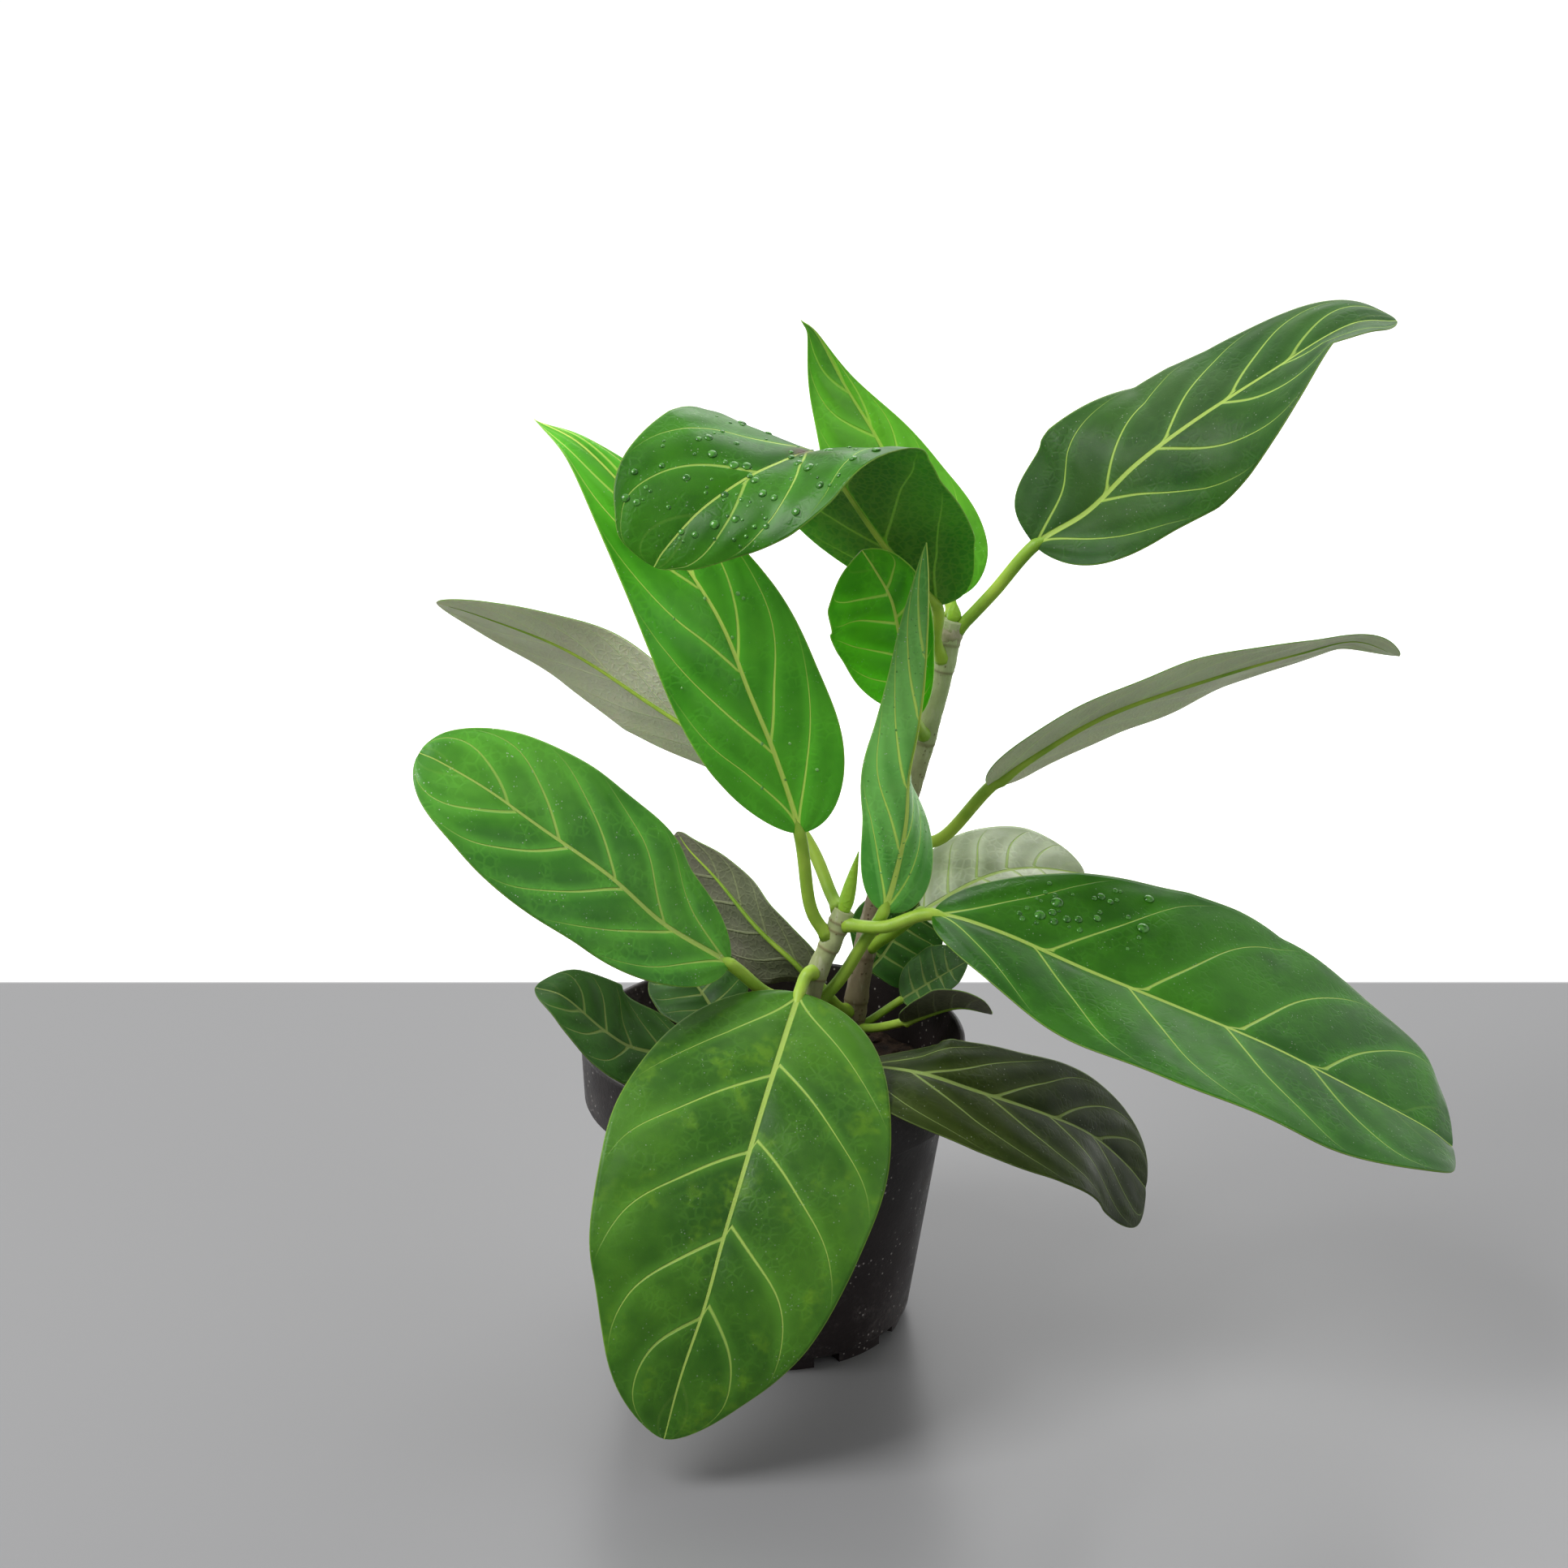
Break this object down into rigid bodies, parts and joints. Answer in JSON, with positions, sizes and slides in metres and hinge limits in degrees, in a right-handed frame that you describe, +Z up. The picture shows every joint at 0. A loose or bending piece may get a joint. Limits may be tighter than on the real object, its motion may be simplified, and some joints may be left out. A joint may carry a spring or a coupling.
{
  "type": "potted ficus",
  "caption": "Young broad-leaved ficus with two stems and thick oval leaves in a round tapered nursery pot of soil",
  "frame": {"origin": "the middle of the pot's standing pad, on the surface that it rests on", "axes": "+Z up along the pot's axis, +X to the right and +Y to the back as the plant is usually looked at"},
  "size_m": [0.3844, 0.2119, 0.401],
  "materials": {
    "pot": "satin",
    "soil": "matte",
    "stem": "matte",
    "bark": "matte",
    "bud": "satin",
    "leaf": "satin"
  },
  "bodies": {
    "root": {"pot": "pot", "soil": "soil", "stem_front": "stem", "stem_back": "bark", "bud_front": "bud", "bud_back": "bud", "leaf_front": "leaf", "leaf_right_large": "leaf", "leaf_upright_left": "leaf", "leaf_left": "leaf", "leaf_back_left": "leaf", "leaf_low_back_left": "leaf", "leaf_inner_left": "leaf", "leaf_rim_left": "leaf", "leaf_folded_centre": "leaf", "leaf_cupped": "leaf", "leaf_top_right": "leaf", "leaf_narrow_right": "leaf", "leaf_top_centre": "leaf", "leaf_curled": "leaf", "leaf_behind_right": "leaf", "leaf_behind_stem": "leaf", "leaf_rim_right": "leaf", "leaf_spoon": "leaf", "leaf_low_right": "leaf", "leaf_small_centre": "leaf"}
  },
  "joints": []
}
